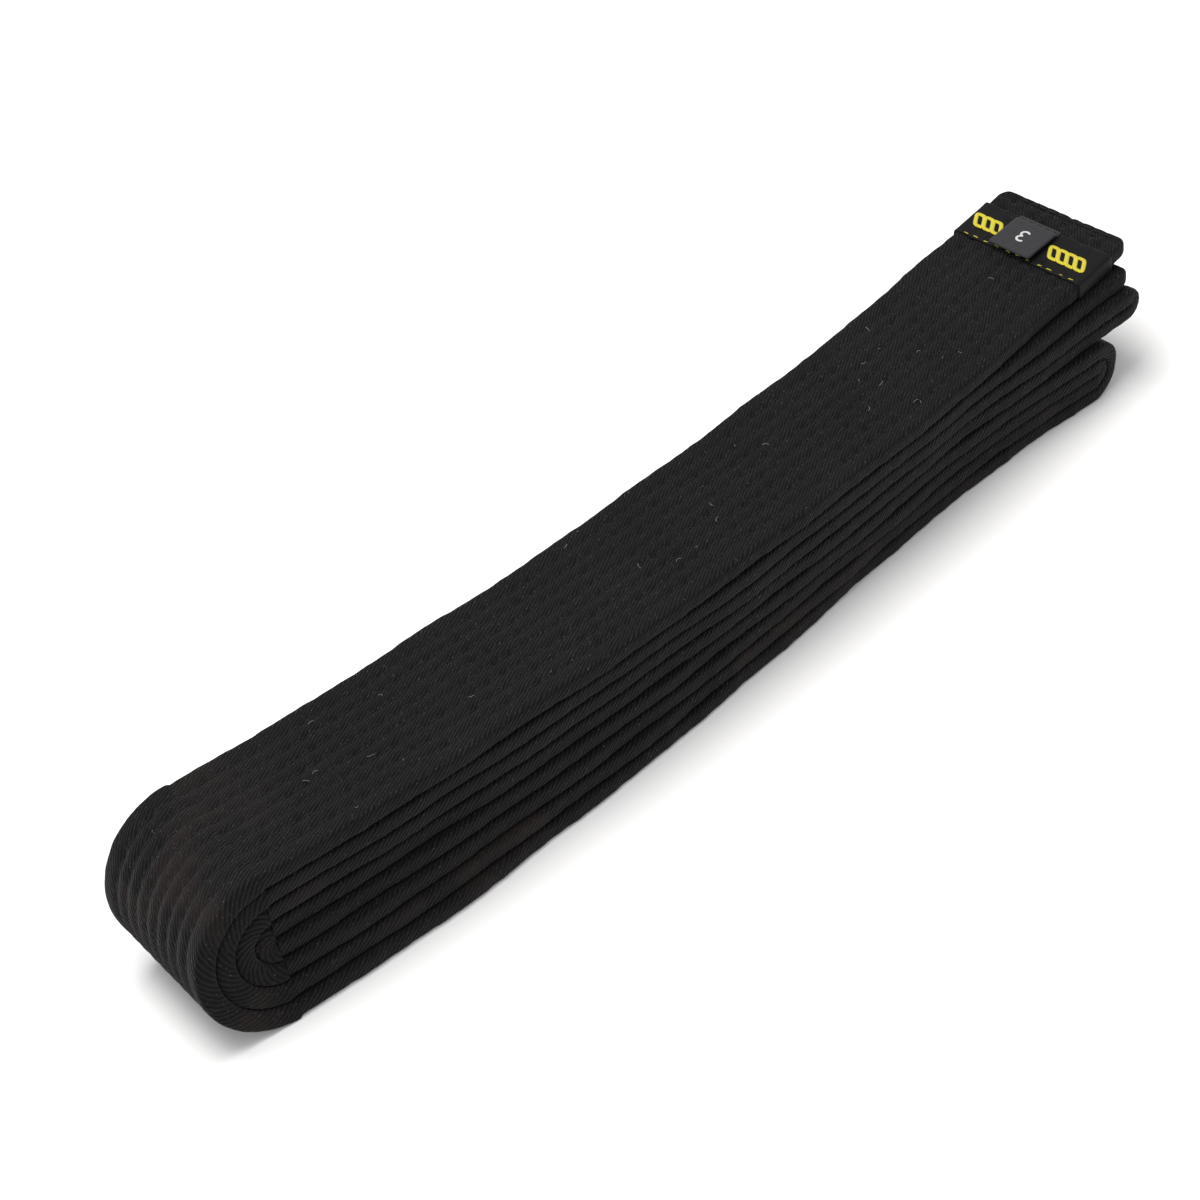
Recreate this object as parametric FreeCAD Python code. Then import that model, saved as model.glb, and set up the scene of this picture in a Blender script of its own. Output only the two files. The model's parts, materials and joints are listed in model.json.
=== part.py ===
"""Martial arts belt, folded in half three times into a bundle of eight layers.

Frame: +Z up, +X along the bundle from the nested near folds to the free ends, origin at the
bottom centre of the bounding box.  Millimetres.

The belt is one long flat band: a cotton cover around a batting core, quilted together by rows of
lockstitch.  Layer 1 is the top one, layer 8 lies on the table.  Both free ends are at the far end
(layers 1 and 2); near folds join layers 1-8, 2-7, 3-6 and 4-5; far folds join 3-4, 5-8 and 6-7.
"""
import FreeCAD, Part
import math
import os

from FreeCAD import Vector

# ---- band ----------------------------------------------------------------------------------
BELT_WIDTH = 40.0
BAND_THICKNESS_NEAR = 4.7        # the band is fuller beside the near folds
BAND_THICKNESS_FAR = 4.2
EDGE_RADIUS = 1.7
COVER_WALL = 0.8
STITCH_ROWS = 8
STITCH_MARGIN = 5.3              # from the edge of the band to its outermost row
CHANNEL_WIDTH = 0.7
CHANNEL_DEPTH = 0.3
THREAD_WIDTH = 0.6
THREAD_DEPTH = 0.25

# ---- bundle --------------------------------------------------------------------------------
LAYERS = 8
LENGTH = 308.0                   # near fold tangent to the tip of layer 1
PLAN_TURN = 0.24                 # radians that the whole bundle bends in plan
STACK_NEAR = 41.0                # height of the bundle at the near folds
STACK_FAR = 36.5
LABEL_GAP = 0.8                  # under layer 1 at the far end, where the label goes round it
LAYER_REACH = {1: 308.0, 2: 303.0, 3: 299.0, 4: 299.0, 5: 284.0, 6: 284.0, 7: 284.0, 8: 284.0}
STATIONS = 6                     # cross-sections that a layer is lofted through
SEAM_GAP = 0.4                   # clearance between a layer and the folds beside it
REST_FLATTEN = 0.05              # how far the bottom layer is pressed flat by its own weight

# Sideways steps of the layers, towards -Y: a lean at the near end, and a flare at the far end.
LEAN = 9.5
LEAN_END = 230.0
LEAN_SHARE = {1: 0.0, 2: 0.05, 3: 0.1, 4: 0.16, 5: 0.37, 6: 0.58, 7: 0.79, 8: 1.0}
FLARE = {1: 0.0, 2: 4.5, 3: 7.0, 4: 7.0, 5: 7.0, 6: 7.0, 7: 7.0, 8: 7.0}
FLARE_START = 230.0
FLARE_POWER = 1.4

NEAR_FOLDS = {1: (1, 8), 2: (2, 7), 3: (3, 6), 4: (4, 5)}
FAR_FOLDS = {1: (3, 4), 2: (5, 8), 3: (6, 7)}
NOSE_STRETCH = 1.15              # the near folds reach out further than a half circle would

# ---- ends, label and tag -------------------------------------------------------------------
END_LENGTH = 5.0                 # closed, hemmed tip of each free end
END_CORNER = 4.0
HEM_INSET = 2.2
LABEL_START = 284.0
LABEL_WIDTH = 14.7
LABEL_THICKNESS = 0.4
LABEL_DASH = 2.4
LABEL_DASH_PITCH = 3.6
LABEL_DASH_INSET = 0.9
YARN_HEIGHT = 0.2
MOTIF_HEIGHT = 0.3
MOTIF_LINE = 0.9
MOTIF_BAR = 5.2                  # outside length of one slanted link, along the bundle
MOTIF_BAR_WIDTH = 3.6
MOTIF_LEAN = 0.35
MOTIF_PITCH = 4.4
MOTIF_CENTRE = 291.0
MOTIF_LEFT_FIRST = 11.5          # across the band; two links on the left of the tag
MOTIF_RIGHT_FIRST = -15.8        # and three on its right
TAG_WIDTH = 12.9
TAG_CENTRE = 2.2                 # across the band, towards +Y
TAG_ROOT_LENGTH = 1.6
TAG_PLY = 0.35
TAG_CLEARANCE = 0.75             # above the label, over the motif
TAG_LENGTH = 13.6
TAG_RISE = 4.0                   # degrees that the flap rises towards its free fold
NUMERAL_RADIUS = 1.45
NUMERAL_STROKE = 0.7
NUMERAL_HEIGHT = 0.12


def smoothstep(value):
    value = min(max(value, 0.0), 1.0)
    return value * value * (3.0 - 2.0 * value)


def heading(station):
    return PLAN_TURN * (station / LENGTH - 0.5)


def path_point(station):
    """Centre line of the bundle on the table, an arc that starts at the near fold tangent."""
    radius = LENGTH / PLAN_TURN
    start, here = heading(0.0), heading(station)
    return Vector(radius * (math.sin(here) - math.sin(start)),
                  radius * (math.cos(start) - math.cos(here)), 0.0)


def station_placement(station):
    """Local frame at a station: X along the bundle, Y across it, Z up."""
    turn = FreeCAD.Rotation(Vector(0, 0, 1), math.degrees(heading(station)))
    return FreeCAD.Placement(path_point(station), turn)


def place(shape, station):
    moved = shape.copy()
    moved.transformShape(station_placement(station).toMatrix())
    return moved


def thickness(station):
    share = station / LENGTH
    return BAND_THICKNESS_NEAR + (BAND_THICKNESS_FAR - BAND_THICKNESS_NEAR) * share


def layer_bottom(layer, station):
    """Height of the underside of a layer; layer 8 lies at zero."""
    share = station / LENGTH
    height = STACK_NEAR + (STACK_FAR - STACK_NEAR) * share
    gaps = LAYERS - 1
    plain_gap = (height - LAYERS * thickness(station)) / gaps
    label_extra = (LABEL_GAP - plain_gap) * share if LABEL_GAP > plain_gap else 0.0
    below = LAYERS - layer
    bottom = below * (thickness(station) + plain_gap - label_extra / gaps)
    return bottom + label_extra if layer == 1 else bottom


def layer_shift(layer, station):
    """Sideways position of a layer's centre line, negative towards -Y."""
    lean = LEAN * LEAN_SHARE[layer] * (1.0 - smoothstep(station / LEAN_END))
    reach = LAYER_REACH[layer] - FLARE_START
    flare = FLARE[layer] * (max(station - FLARE_START, 0.0) / reach) ** FLARE_POWER
    return -lean - flare


def stitch_positions():
    pitch = (BELT_WIDTH - 2.0 * STITCH_MARGIN) / (STITCH_ROWS - 1)
    return [-BELT_WIDTH / 2.0 + STITCH_MARGIN + pitch * row for row in range(STITCH_ROWS)]


def rounded_profile(width, height, radius, channels=False):
    """Closed wire in the YZ plane, centred on Y = 0, with its underside at Z = 0."""
    half, low, high = width / 2.0, 0.0, height
    floor = CHANNEL_WIDTH / 2.0
    bottom = [(-half + radius, low)]
    top = [(half - radius, high)]
    if channels:
        for y in stitch_positions():
            bottom += [(y - floor, low), (y - floor, low + CHANNEL_DEPTH),
                       (y + floor, low + CHANNEL_DEPTH), (y + floor, low)]
        for y in reversed(stitch_positions()):
            top += [(y + floor, high), (y + floor, high - CHANNEL_DEPTH),
                    (y - floor, high - CHANNEL_DEPTH), (y - floor, high)]
    bottom.append((half - radius, low))
    top.append((-half + radius, high))

    def line(a, b):
        return Part.LineSegment(Vector(0, *a), Vector(0, *b)).toShape()

    def corner(start, centre, end):
        middle = [(s + e) / 2.0 - c for s, e, c in zip(start, end, centre)]
        size = radius / math.hypot(*middle)
        via = [c + m * size for c, m in zip(centre, middle)]
        return Part.Arc(Vector(0, *start), Vector(0, *via), Vector(0, *end)).toShape()

    edges = [line(a, b) for a, b in zip(bottom, bottom[1:])]
    edges.append(corner((half - radius, low), (half - radius, low + radius), (half, low + radius)))
    edges.append(line((half, low + radius), (half, high - radius)))
    edges.append(corner((half, high - radius), (half - radius, high - radius), (half - radius, high)))
    edges += [line(a, b) for a, b in zip(top, top[1:])]
    edges.append(corner((-half + radius, high), (-half + radius, high - radius), (-half, high - radius)))
    edges.append(line((-half, high - radius), (-half, low + radius)))
    edges.append(corner((-half, low + radius), (-half + radius, low + radius), (-half + radius, low)))
    return Part.Wire(edges)


def rectangle_profile(centre, width, low, high):
    corners = [Vector(0, centre + side * width / 2.0, z)
               for side, z in ((-1, low), (1, low), (1, high), (-1, high), (-1, low))]
    return Part.makePolygon(corners)


def stations_of(start, end):
    return [start + (end - start) * step / (STATIONS - 1) for step in range(STATIONS)]


def loft_layer(layer, profile_at, start, end):
    """Loft a profile along a layer; profile_at(thickness) gives its wire in the layer's frame."""
    wires = []
    for station in stations_of(start, end):
        wire = profile_at(thickness(station))
        wire.translate(Vector(0, layer_shift(layer, station), layer_bottom(layer, station)))
        wires.append(place(wire, station))
    return Part.makeLoft(wires, True, False)


def cover_profile(depth):
    return rounded_profile(BELT_WIDTH, depth, EDGE_RADIUS, channels=True)


def core_profile(depth):
    wire = rounded_profile(BELT_WIDTH - 2.0 * COVER_WALL, depth - 2.0 * COVER_WALL,
                           EDGE_RADIUS - COVER_WALL)
    wire.translate(Vector(0, 0, COVER_WALL))
    return wire


def thread_profiles(depth):
    """Rectangles of thread at the bottom of every channel, on both faces of the band."""
    lower = [(y, CHANNEL_DEPTH - THREAD_DEPTH, CHANNEL_DEPTH) for y in stitch_positions()]
    upper = [(y, depth - CHANNEL_DEPTH, depth - CHANNEL_DEPTH + THREAD_DEPTH)
             for y in stitch_positions()]
    return lower + upper


def below_table():
    return Part.makeBox(2.0 * LENGTH, 2.0 * LENGTH, BAND_THICKNESS_NEAR,
                        Vector(-LENGTH / 2.0, -LENGTH, -BAND_THICKNESS_NEAR))


def band_layer(layer):
    """Cover, core and stitching of one straight layer."""
    start, end = SEAM_GAP, LAYER_REACH[layer]
    if layer in (1, 2):
        end -= END_LENGTH
    core = loft_layer(layer, core_profile, start, end)
    cover = loft_layer(layer, cover_profile, start, end).cut(core)
    threads = []
    for index in range(2 * STITCH_ROWS):
        def thread_profile(depth, index=index):
            centre, low, high = thread_profiles(depth)[index]
            return rectangle_profile(centre, THREAD_WIDTH, low, high)
        threads.append(loft_layer(layer, thread_profile, start, end))
    threads = Part.makeCompound(threads)
    if layer == LAYERS:
        for shape in (cover, core, threads):
            shape.translate(Vector(0, 0, -REST_FLATTEN))
        cover = cover.cut(below_table())
    return cover, core, threads


def fold_solids(profile_wires, mid_radius, depth, outward):
    """Revolve profiles by half a turn about the Y axis; outward is -1 at the near end, +1 at the far."""
    solids = []
    for wire in profile_wires:
        shape = Part.Face(wire)
        shape.translate(Vector(0, 0, mid_radius - depth / 2.0))
        solids.append(shape.revolve(Vector(0, 0, 0), Vector(0, 1, 0), 180.0 * outward))
    return solids


def band_fold(upper, lower, station, outward, stretch):
    """Cover, core and stitching of the fold that joins two layers at a station."""
    depth = thickness(station)
    top = layer_bottom(upper, station) + depth / 2.0
    bottom = layer_bottom(lower, station) + depth / 2.0
    centre_height = (top + bottom) / 2.0
    mid_radius = (top - bottom) / 2.0
    shift_top, shift_bottom = layer_shift(upper, station), layer_shift(lower, station)
    threads = [rectangle_profile(centre, THREAD_WIDTH, low, high)
               for centre, low, high in thread_profiles(depth)]
    core = fold_solids([core_profile(depth)], mid_radius, depth, outward)[0]
    cover = fold_solids([cover_profile(depth)], mid_radius, depth, outward)[0].cut(core)
    stitching = Part.makeCompound(fold_solids(threads, mid_radius, depth, outward))

    lean = FreeCAD.Matrix()
    lean.A11 = stretch
    lean.A23 = (shift_top - shift_bottom) / (top - bottom)
    lean.A24 = (shift_top + shift_bottom) / 2.0
    lean.A34 = centre_height
    return [place(shape.transformGeometry(lean), station) for shape in (cover, core, stitching)]


def top_of_layer_one(station):
    return layer_bottom(1, station) + thickness(station)


def layer_one_loft(grow, start, end):
    """Closed solid around layer 1, larger than it by grow on every side."""
    def profile(depth):
        wire = rounded_profile(BELT_WIDTH + 2.0 * grow, depth + 2.0 * grow, EDGE_RADIUS + grow)
        wire.translate(Vector(0, 0, -grow))
        return wire
    return loft_layer(1, profile, start, end)


def end_closure(layer):
    """Closed tip of a free end: the cover folded in and flattened, with rounded corners."""
    reach = LAYER_REACH[layer]
    start = reach - END_LENGTH
    tip = loft_layer(layer, lambda depth: rounded_profile(BELT_WIDTH, depth, EDGE_RADIUS), start, reach)
    outline = Part.makeBox(3.0 * END_LENGTH, BELT_WIDTH, 3.0 * STACK_NEAR,
                           Vector(-3.0 * END_LENGTH, -BELT_WIDTH / 2.0, -STACK_NEAR))
    front_edges = [edge for edge in outline.Edges
                   if edge.BoundBox.XMin > -0.01 and edge.BoundBox.ZLength > STACK_NEAR]
    outline = outline.makeFillet(END_CORNER, front_edges)
    outline.translate(Vector(0, layer_shift(layer, reach), 0))
    return tip.common(place(outline, reach))


def hem_stitching(layer):
    """Cross rows of thread on top of a free end, just inside its tip."""
    rows = []
    for inset in (HEM_INSET, END_LENGTH - HEM_INSET / 2.0):
        station = LAYER_REACH[layer] - inset
        row = Part.makeBox(THREAD_WIDTH, BELT_WIDTH - 2.0 * END_CORNER, THREAD_DEPTH,
                           Vector(-THREAD_WIDTH / 2.0, -BELT_WIDTH / 2.0 + END_CORNER,
                                  layer_bottom(layer, station) + thickness(station) - THREAD_DEPTH / 2.0))
        row.translate(Vector(0, layer_shift(layer, station), 0))
        rows.append(place(row, station))
    return Part.makeCompound(rows)


def label_band():
    """Woven label, a flat sleeve sewn round layer 1."""
    end = LABEL_START + LABEL_WIDTH
    return layer_one_loft(LABEL_THICKNESS, LABEL_START, end).cut(
        layer_one_loft(0.0, LABEL_START - 1.0, end + 1.0))


def on_label(shape, station):
    """Set a shape down on top of the label at a station, tilted with the slope of the label."""
    slope = (top_of_layer_one(LENGTH) - top_of_layer_one(0.0)) / LENGTH
    shape = shape.copy()
    shape.rotate(Vector(0, 0, 0), Vector(0, 1, 0), -math.degrees(math.atan(slope)))
    shape.translate(Vector(0, 0, top_of_layer_one(station) + LABEL_THICKNESS))
    return place(shape, station)


def label_edge_stitching():
    dashes = []
    station = LABEL_START + LABEL_DASH_INSET
    count = int((BELT_WIDTH - 2.0 * EDGE_RADIUS) // LABEL_DASH_PITCH)
    for index in range(count):
        centre = (index - (count - 1) / 2.0) * LABEL_DASH_PITCH
        dash = Part.makeBox(THREAD_WIDTH, LABEL_DASH, YARN_HEIGHT,
                            Vector(-THREAD_WIDTH / 2.0, centre - LABEL_DASH / 2.0, 0.0))
        dashes.append(on_label(dash, station))
    return Part.makeCompound(dashes)


def slanted_link(centre):
    """Raised outline of one slanted bar, with a hollow middle."""
    def outline(length, width):
        corners = []
        for along, across in ((-1, -1), (1, -1), (1, 1), (-1, 1), (-1, -1)):
            x = along * length / 2.0
            corners.append(Vector(x, centre + across * width / 2.0 + MOTIF_LEAN * x, 0.0))
        return Part.Face(Part.makePolygon(corners))
    ring = outline(MOTIF_BAR, MOTIF_BAR_WIDTH).cut(
        outline(MOTIF_BAR - 2.0 * MOTIF_LINE, MOTIF_BAR_WIDTH - 2.0 * MOTIF_LINE))
    return ring.extrude(Vector(0, 0, MOTIF_HEIGHT))


def label_motif(first, count):
    """A row of slanted links, woven into the label as a plain decorative pattern."""
    centres = [first + MOTIF_PITCH * index for index in range(count)]
    return Part.makeCompound([on_label(slanted_link(centre), MOTIF_CENTRE) for centre in centres])


def tag_frame(shape):
    """Local tag frame to the bundle: X = 0 at the tag's hinge line, +X away from the tip."""
    station = LABEL_START + LABEL_WIDTH - TAG_ROOT_LENGTH
    shape = shape.copy()
    shape.rotate(Vector(0, 0, 0), Vector(0, 0, 1), 180.0)
    shape.translate(Vector(0, TAG_CENTRE, 0))
    return on_label(shape, station)


def tag_tilt(shape):
    shape = shape.copy()
    shape.rotate(Vector(0, 0, TAG_CLEARANCE), Vector(0, 1, 0), -TAG_RISE)
    return shape


def size_tag_root():
    """Seam allowance of the tag, sewn down on the label's far edge."""
    return tag_frame(Part.makeBox(TAG_ROOT_LENGTH, TAG_WIDTH, 2.0 * TAG_PLY,
                                  Vector(-TAG_ROOT_LENGTH, -TAG_WIDTH / 2.0, 0.0)))


def size_tag_stitching():
    rows = [Part.makeBox(THREAD_WIDTH, LABEL_DASH, YARN_HEIGHT,
                         Vector(-TAG_ROOT_LENGTH / 2.0 - THREAD_WIDTH / 2.0,
                                centre - LABEL_DASH / 2.0, 2.0 * TAG_PLY))
            for centre in (-LABEL_DASH_PITCH, 0.0, LABEL_DASH_PITCH)]
    return tag_frame(Part.makeCompound(rows))


def size_tag_flap():
    """Folded tape: two plies joined by a round fold at the free edge."""
    width = Vector(0, TAG_WIDTH, 0)
    gap = TAG_PLY * 0.6
    start = SEAM_GAP
    outer, inner = TAG_PLY + gap / 2.0, gap / 2.0
    far = TAG_LENGTH - outer

    def half_disc(radius):
        top, nose, low = Vector(far, 0, radius), Vector(far + radius, 0, 0), Vector(far, 0, -radius)
        arc = Part.Arc(top, nose, low).toShape()
        lines = Part.makePolygon([low, Vector(start, 0, -radius), Vector(start, 0, radius), top])
        return Part.Face(Part.Wire([arc] + lines.Edges))
    section = half_disc(outer).cut(half_disc(inner))
    flap = section.extrude(width)
    flap.translate(Vector(0, -TAG_WIDTH / 2.0, TAG_CLEARANCE + outer))
    return tag_frame(tag_tilt(flap))


def size_numeral():
    """Raised figure 3 made of two open rings, on top of the tag."""
    surface = TAG_CLEARANCE + 2.0 * TAG_PLY + TAG_PLY * 0.6
    centre = TAG_LENGTH * 0.5
    outer, inner = NUMERAL_RADIUS, NUMERAL_RADIUS - NUMERAL_STROKE
    rings = []
    for side, start in ((1, -90.0), (-1, -150.0)):
        sector = Part.makeCylinder(outer, NUMERAL_HEIGHT, Vector(0, 0, 0), Vector(0, 0, 1), 240.0)
        hole = Part.makeCylinder(inner, NUMERAL_HEIGHT, Vector(0, 0, 0), Vector(0, 0, 1), 240.0)
        ring = sector.cut(hole)
        ring.rotate(Vector(0, 0, 0), Vector(0, 0, 1), start)
        ring.translate(Vector(0, side * (outer - NUMERAL_STROKE / 2.0), 0))
        rings.append(ring)
    figure = rings[0].fuse(rings[1]).removeSplitter()
    figure.rotate(Vector(0, 0, 0), Vector(0, 0, 1), 90.0)
    figure.translate(Vector(centre, 0, surface))
    return tag_frame(tag_tilt(figure))


def build_nodes():
    nodes = {}
    for layer in range(1, LAYERS + 1):
        cover, core, stitching = band_layer(layer)
        nodes[f"cover_layer_{layer}"] = cover
        nodes[f"core_layer_{layer}"] = core
        nodes[f"stitching_layer_{layer}"] = stitching
    for index, (upper, lower) in NEAR_FOLDS.items():
        cover, core, stitching = band_fold(upper, lower, 0.0, -1, NOSE_STRETCH)
        nodes[f"cover_near_fold_{index}"] = cover
        nodes[f"core_near_fold_{index}"] = core
        nodes[f"stitching_near_fold_{index}"] = stitching
    for index, (upper, lower) in FAR_FOLDS.items():
        station = LAYER_REACH[upper] + SEAM_GAP
        cover, core, stitching = band_fold(upper, lower, station, 1, 1.0)
        nodes[f"cover_far_fold_{index}"] = cover
        nodes[f"core_far_fold_{index}"] = core
        nodes[f"stitching_far_fold_{index}"] = stitching
    for layer in (1, 2):
        hem = hem_stitching(layer)
        nodes[f"end_closure_{layer}"] = end_closure(layer).cut(hem)
        nodes[f"hem_stitching_{layer}"] = hem
    nodes["label_band"] = label_band()
    nodes["label_edge_stitching"] = label_edge_stitching()
    nodes["label_motif_left"] = label_motif(MOTIF_LEFT_FIRST, 2)
    nodes["label_motif_right"] = label_motif(MOTIF_RIGHT_FIRST, 3)
    nodes["size_tag_root"] = size_tag_root()
    nodes["size_tag_stitching"] = size_tag_stitching()
    nodes["size_tag_flap"] = size_tag_flap()
    nodes["size_numeral"] = size_numeral()
    return nodes


def main():
    os.makedirs("parts", exist_ok=True)
    nodes = build_nodes()
    box = Part.makeCompound(list(nodes.values())).optimalBoundingBox(False)
    shift = Vector(-box.Center.x, -box.Center.y, -box.ZMin)
    for name, shape in nodes.items():
        shape.translate(shift)
        shape.exportStep(f"parts/{name}.step")
    print("origin shift", tuple(round(value, 4) for value in shift))
    print("bounding box", round(box.XLength, 3), round(box.YLength, 3), round(box.ZLength, 3))


if __name__ == "__main__":
    main()
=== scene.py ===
"""Looks of the folded martial arts belt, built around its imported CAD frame.

Lengths are millimetres, as in the part's source, until MM turns them into Blender's metres.
A point of the band is given by a row along the strip and a column round its cross-section: the
rows follow the layers and folds, and the columns go round from the middle of the outer face.
"""

import json
import math

import bpy
import numpy as np
from mathutils import Matrix, Vector


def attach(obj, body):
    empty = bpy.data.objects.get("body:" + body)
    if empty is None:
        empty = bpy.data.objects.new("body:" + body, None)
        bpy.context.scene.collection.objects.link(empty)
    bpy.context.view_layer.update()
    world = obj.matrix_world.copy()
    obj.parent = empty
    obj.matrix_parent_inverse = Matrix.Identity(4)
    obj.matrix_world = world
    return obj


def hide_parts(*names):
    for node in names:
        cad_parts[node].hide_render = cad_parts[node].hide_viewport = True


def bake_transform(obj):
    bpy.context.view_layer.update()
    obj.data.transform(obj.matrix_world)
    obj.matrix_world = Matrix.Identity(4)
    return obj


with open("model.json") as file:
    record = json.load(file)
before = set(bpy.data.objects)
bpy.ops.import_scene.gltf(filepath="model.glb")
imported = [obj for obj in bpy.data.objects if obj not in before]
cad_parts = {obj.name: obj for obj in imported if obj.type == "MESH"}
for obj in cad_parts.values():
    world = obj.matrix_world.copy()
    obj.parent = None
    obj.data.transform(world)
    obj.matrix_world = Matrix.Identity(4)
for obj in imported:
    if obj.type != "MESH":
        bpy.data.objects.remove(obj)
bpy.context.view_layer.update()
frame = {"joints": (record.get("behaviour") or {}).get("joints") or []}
MM = 0.001

# ---- the bundle, as the CAD has it -------------------------------------------------------------
BELT_WIDTH = 40.0
BAND_NEAR, BAND_FAR = 4.7, 4.2
STITCH_ROWS = 8
STITCH_MARGIN = 5.3
LAYERS = 8
LENGTH = 308.0
PLAN_TURN = 0.24
STACK_NEAR, STACK_FAR = 41.0, 36.5
LABEL_GAP = 0.8
REACH = {1: 308.0, 2: 303.0, 3: 299.0, 4: 299.0, 5: 284.0, 6: 284.0, 7: 284.0, 8: 284.0}
SEAM_GAP = 0.4
LEAN, LEAN_END = 9.5, 230.0
LEAN_SHARE = {1: 0.0, 2: 0.05, 3: 0.1, 4: 0.16, 5: 0.37, 6: 0.58, 7: 0.79, 8: 1.0}
FLARE = {1: 0.0, 2: 4.5, 3: 7.0, 4: 7.0, 5: 7.0, 6: 7.0, 7: 7.0, 8: 7.0}
FLARE_START, FLARE_POWER = 230.0, 1.4
NEAR_FOLDS = {1: (1, 8), 2: (2, 7), 3: (3, 6), 4: (4, 5)}
FAR_FOLDS = {1: (3, 4), 2: (5, 8), 3: (6, 7)}
NOSE_STRETCH = 1.15
LABEL_START, LABEL_WIDTH, LABEL_THICKNESS = 284.0, 14.7, 0.4
MOTIF_CENTRE, MOTIF_PITCH = 291.0, 2.75
MOTIF_ROWS = {"left": (11.3, 3), "right": (-15.6, 4)}      # closer together than the CAD's
TAG_WIDTH, TAG_CENTRE, TAG_ROOT, TAG_LENGTH = 12.9, 2.2, 1.6, 13.6
TAG_PLY, TAG_CLEARANCE, TAG_RISE = 0.35, 0.75, 4.0
NUMERAL_RADIUS, NUMERAL_STROKE = 1.45, 0.7

# ---- cloth detail ------------------------------------------------------------------------------
EDGE_ROUND = 1.6                 # how far in from its side the band starts to round off
EDGE_SQUARENESS = 0.52           # 1 is an ellipse, less is squarer
EDGE_STEPS = 10
PANEL_STEPS = 6                  # columns between two stitch rows
STITCH_PITCH, STITCH_LENGTH = 4.85, 3.3
THREAD_HALF_WIDTH, THREAD_HALF_HEIGHT = 0.27, 0.2
VALLEY_DEPTH, VALLEY_WIDTH = 0.36, 0.75
DIMPLE_DEPTH, DIMPLE_SKEW = 0.42, 0.45
TENSION_CYCLE = 61               # stitches before the uneven depth of a row's dimples repeats
PANEL_CROWN = 0.17               # the padding swells the band beyond its plain depth
TWILL_ALONG, TWILL_ACROSS, TWILL_ON_EDGE = 0.573, 1.097, 0.68    # wales per millimetre
TIP_CORNER, TIP_ROUND = 4.0, 1.3
HEM_ROWS = (2.2, 3.9)            # cross rows of stitching, measured from a tip
HEM_PITCH, HEM_STITCH = 2.9, 2.3
LABEL_DASH_PITCH = 3.42
LINT_FIBRES = 30
CAMERA_AT = (-534.8, -591.7, 801.5)
CAMERA_RIGHT = (0.70742799, -0.70358362, -0.06719925)
CAMERA_DOWN = (-0.52900326, -0.46403261, -0.7105134)
FOCAL_LENGTH, SENSOR = 131.9, 36.0


def smoothstep(value):
    value = np.clip(value, 0.0, 1.0)
    return value * value * (3.0 - 2.0 * value)


# ---- where things are --------------------------------------------------------------------------
LIFT = next(j for j in frame["joints"] if j["name"] == "middle_fold_lift")
HINGE = np.array(LIFT["pos_m"]) / MM
START_HEADING = math.atan2(LIFT["axis"][0], -LIFT["axis"][1])


def to_row(station, x, y, z):
    """Local X (along), Y (across), Z (up) at a station, to the row frame, in millimetres."""
    radius = LENGTH / PLAN_TURN
    here = START_HEADING + PLAN_TURN * np.asarray(station) / LENGTH
    path_x = radius * (np.sin(here) - math.sin(START_HEADING)) + HINGE[0]
    path_y = radius * (math.cos(START_HEADING) - np.cos(here)) + HINGE[1]
    return np.stack([path_x + x * np.cos(here) - y * np.sin(here),
                     path_y + x * np.sin(here) + y * np.cos(here),
                     z + 0.0 * here], axis=-1)


def thickness(station):
    return BAND_NEAR + (BAND_FAR - BAND_NEAR) * station / LENGTH


def layer_bottom(layer, station):
    share = station / LENGTH
    height = STACK_NEAR + (STACK_FAR - STACK_NEAR) * share
    plain_gap = (height - LAYERS * thickness(station)) / (LAYERS - 1)
    label_extra = np.maximum(LABEL_GAP - plain_gap, 0.0) * share
    bottom = (LAYERS - layer) * (thickness(station) + plain_gap - label_extra / (LAYERS - 1))
    return bottom + label_extra if layer == 1 else bottom


def layer_shift(layer, station):
    lean = LEAN * LEAN_SHARE[layer] * (1.0 - smoothstep(station / LEAN_END))
    beyond = np.maximum(station - FLARE_START, 0.0) / (REACH[layer] - FLARE_START)
    return -lean - FLARE[layer] * beyond ** FLARE_POWER


def waves(values, seed, lengths, size):
    """Smooth uneven ripple: a sum of sines with fixed random phases."""
    phases = np.random.default_rng(seed).uniform(0.0, 2.0 * math.pi, len(lengths))
    total = sum(np.sin(2.0 * math.pi * values / length + phase)
                for length, phase in zip(lengths, phases))
    return size * total / len(lengths)


# ---- the strip's path: one table row for each cross-section -------------------------------------
FIELDS = ("u", "station", "x", "z", "nx", "nz", "shift", "tilt", "pivot", "depth", "nose", "tip")


def run_path(layer, start, end, u_start, upward, step, tip=False):
    """Straight layer from station start to end; the outer face looks up, or down."""
    count = max(int(abs(end - start) / step), 2) + 1
    station = np.linspace(start, end, count)
    if tip:
        close = end - TIP_ROUND * (1.0 - np.sin(np.linspace(0.0, math.pi / 2.0, 7)))
        station = np.concatenate([station[station < end - TIP_ROUND - 0.2], close])
    depth = thickness(station)
    calm = smoothstep(station / 25.0) * smoothstep((REACH[layer] - station) / 12.0)
    ripple = waves(station, layer, (97.0, 61.0, 38.0), 0.55) * calm
    rows = {
        "u": u_start + np.abs(station - start),
        "station": station,
        "z": layer_bottom(layer, station) + depth / 2.0,
        "nz": np.full(len(station), 1.0 if upward else -1.0),
        "shift": layer_shift(layer, station) + ripple,
        "depth": depth,
        "tip": (REACH[layer] - station) if tip else np.full(len(station), 99.0),
    }
    return {name: rows.get(name, np.zeros(len(station))) for name in FIELDS}


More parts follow.
